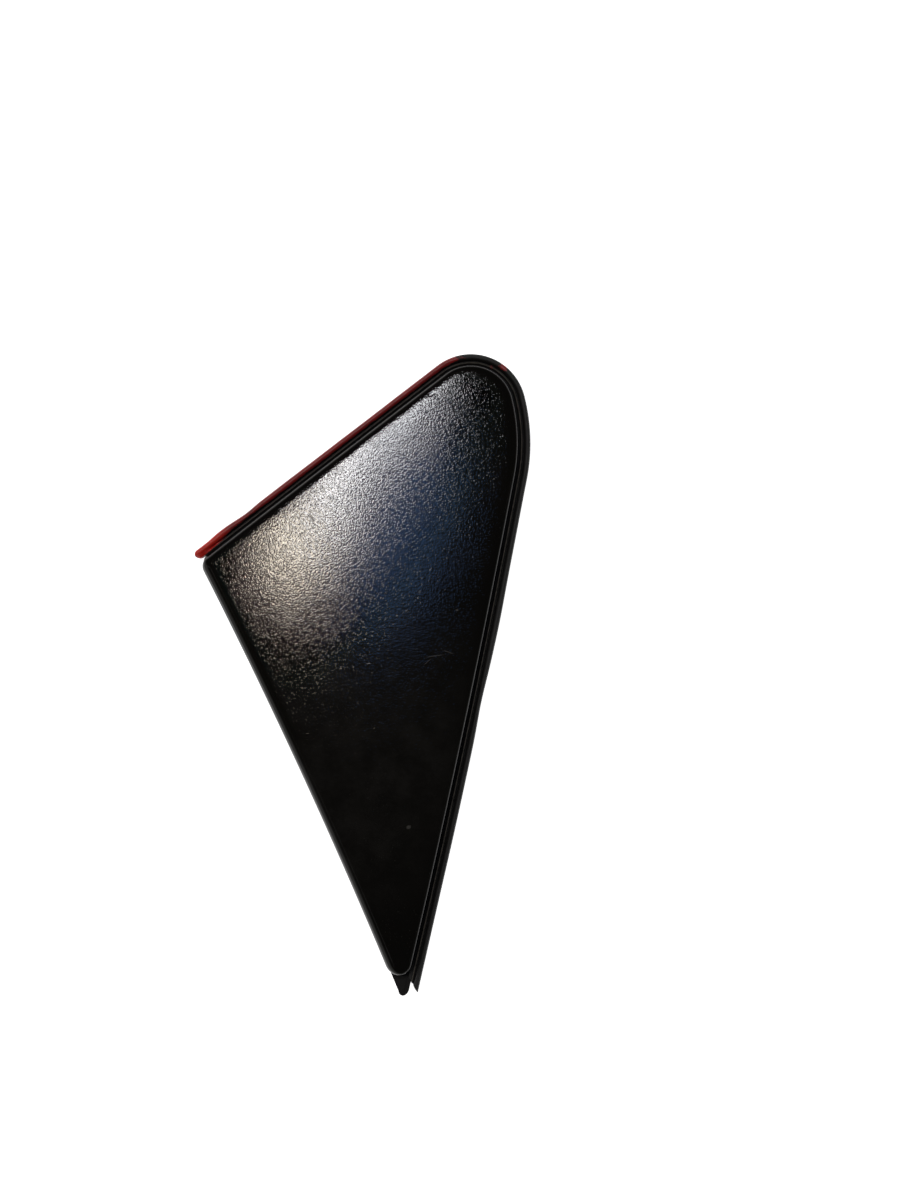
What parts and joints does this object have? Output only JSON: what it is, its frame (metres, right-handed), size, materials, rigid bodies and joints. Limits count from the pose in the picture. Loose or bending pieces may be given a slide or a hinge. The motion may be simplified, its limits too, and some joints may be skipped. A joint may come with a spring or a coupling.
{
  "type": "exterior corner trim",
  "caption": "Long three-cornered exterior trim panel with a grained cover, a rubber seal round two edges, and push-in clips on its back.",
  "frame": {"origin": "middle of the bounding box in X and Y, at the level of the clips' points", "axes": "+Y along the part, towards the rounded nose and away from the tongue; +Z out of the grained face; +X towards the sealed flank; the long bare edge faces -X"},
  "size_m": [0.1044, 0.1999, 0.0305],
  "materials": {
    "cover": "fine pebble grain",
    "carrier": "moulded, satin",
    "seal": "extruded, dull, with red paint overspray",
    "screw": "zinc plated",
    "foam": "closed-cell foam",
    "felt": "felt",
    "clip": "natural acetal"
  },
  "bodies": {
    "panel": {"cover_panel": "cover", "carrier": "carrier", "edge_seal": "seal", "fixing_screws": "screw", "long_edge_foam": "foam", "nose_foam_pad": "foam", "tongue_pad": "felt", "upper_pin_washer": "foam", "lower_pin_washer": "foam"},
    "upper_clip": {"upper_clip": "clip", "upper_clip_washer": "foam"},
    "corner_clip": {"corner_clip": "clip", "corner_clip_washer": "foam"},
    "lower_clip": {"lower_clip": "clip", "lower_clip_washer": "foam"}
  },
  "joints": [
    {"name": "upper_clip_slide", "type": "slide", "parent": "panel", "child": "upper_clip", "axis": [0, -1, 0], "range_m": [0, 0.015]},
    {"name": "corner_clip_slide", "type": "slide", "parent": "panel", "child": "corner_clip", "axis": [1, 0, 0], "range_m": [0, 0.015]},
    {"name": "lower_clip_slide", "type": "slide", "parent": "panel", "child": "lower_clip", "axis": [0, 1, 0], "range_m": [0, 0.015]}
  ]
}
